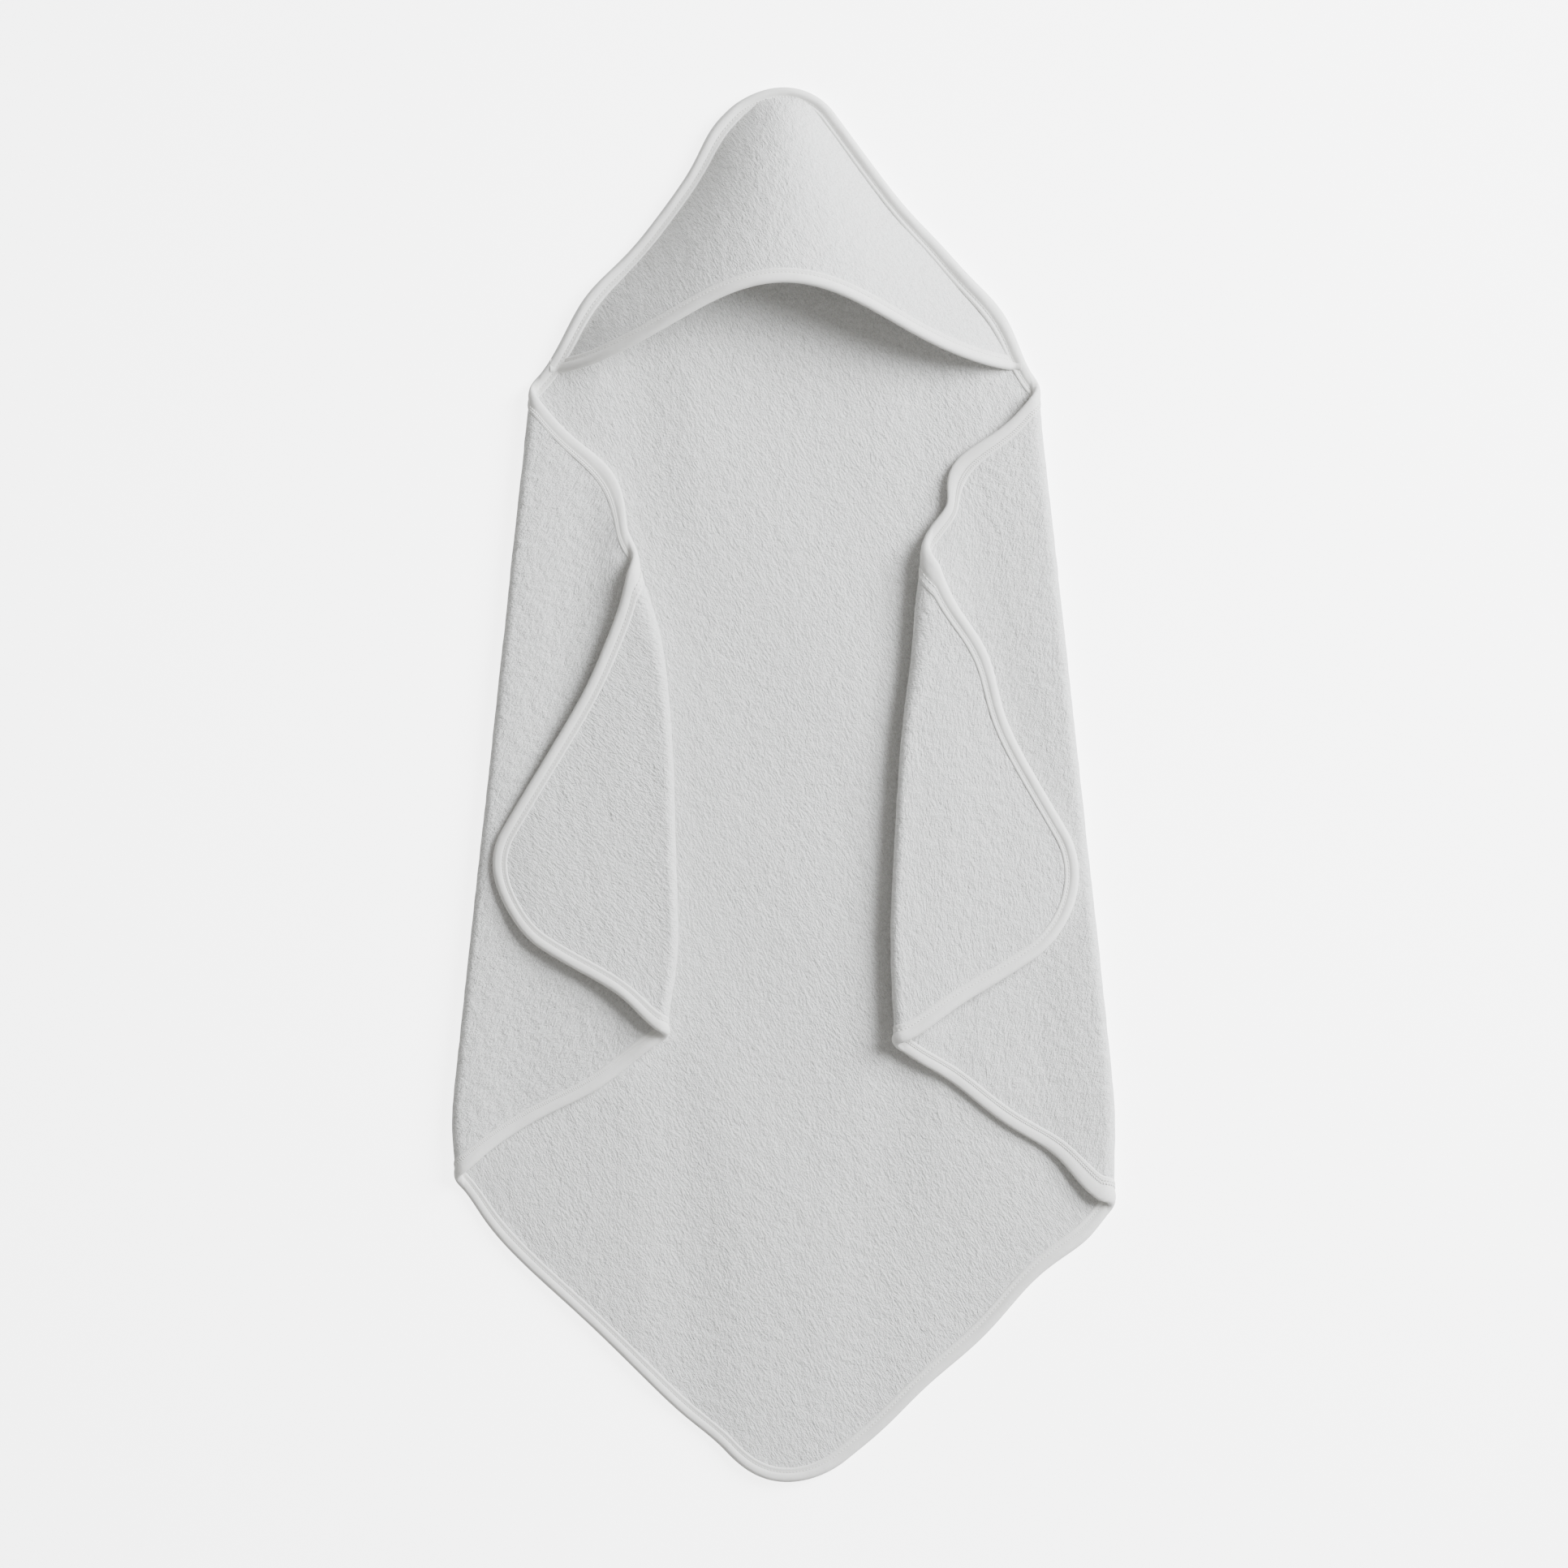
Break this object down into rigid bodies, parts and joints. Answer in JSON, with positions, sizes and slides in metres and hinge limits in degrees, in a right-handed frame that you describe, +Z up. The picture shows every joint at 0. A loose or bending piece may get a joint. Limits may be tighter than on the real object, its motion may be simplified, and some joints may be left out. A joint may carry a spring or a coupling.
{
  "type": "hooded baby towel",
  "caption": "Square terry towel laid on its point with a sewn hood at the top corner, bound edges and both sides folded in a zigzag over the body.",
  "frame": {"origin": "middle of the bottom of the towel's box, on the surface that it lies on", "axes": "+Z up off the surface, +Y towards the hood, +X to the right seen from above"},
  "size_m": [0.4908, 1.0072, 0.0558],
  "materials": {
    "terry": "looped terry pile, warm white",
    "binding": "smooth jersey binding tape, warm white",
    "thread": "matte sewing thread, warm white"
  },
  "bodies": {
    "body": {"body_panel": "terry", "bottom_binding": "binding", "bottom_stitching": "thread", "left_outer_fold": "terry", "right_outer_fold": "terry"},
    "hood": {"hood_back_panel": "terry", "hood_panel": "terry", "hood_side_binding": "binding", "hood_side_stitching": "thread", "hood_opening_binding": "binding", "hood_opening_stitching": "thread"},
    "left_wing": {"left_wing_panel": "terry", "left_wing_binding": "binding", "left_wing_stitching": "thread", "left_inner_fold": "terry"},
    "left_tip": {"left_tip_panel": "terry", "left_tip_binding": "binding", "left_tip_stitching": "thread"},
    "right_wing": {"right_wing_panel": "terry", "right_wing_binding": "binding", "right_wing_stitching": "thread", "right_inner_fold": "terry"},
    "right_tip": {"right_tip_panel": "terry", "right_tip_binding": "binding", "right_tip_stitching": "thread"}
  },
  "joints": [
    {"name": "hood_lift", "type": "hinge", "parent": "body", "child": "hood", "pos_m": [0, 0.295, 0.004], "axis": [1, 0, 0], "range_deg": [0, 90]},
    {"name": "left_wing_open", "type": "hinge", "parent": "body", "child": "left_wing", "pos_m": [-0.208, 0, 0.007], "axis": [-0.108, -0.9942, 0], "range_deg": [0, 179], "deforming": ["left_outer_fold"]},
    {"name": "left_tip_open", "type": "hinge", "parent": "left_wing", "child": "left_tip", "pos_m": [-0.088, 0, 0.017], "axis": [-0.0541, 0.9985, 0], "range_deg": [0, 179], "deforming": ["left_inner_fold"]},
    {"name": "right_wing_open", "type": "hinge", "parent": "body", "child": "right_wing", "pos_m": [0.208, 0, 0.007], "axis": [-0.108, 0.9942, 0], "range_deg": [0, 179], "deforming": ["right_outer_fold"]},
    {"name": "right_tip_open", "type": "hinge", "parent": "right_wing", "child": "right_tip", "pos_m": [0.088, 0, 0.017], "axis": [-0.0541, -0.9985, 0], "range_deg": [0, 179], "deforming": ["right_inner_fold"]}
  ],
  "couplings": [
    {"joint": "left_tip_open", "follows": "left_wing_open", "ratio": 1},
    {"joint": "right_tip_open", "follows": "right_wing_open", "ratio": 1}
  ]
}
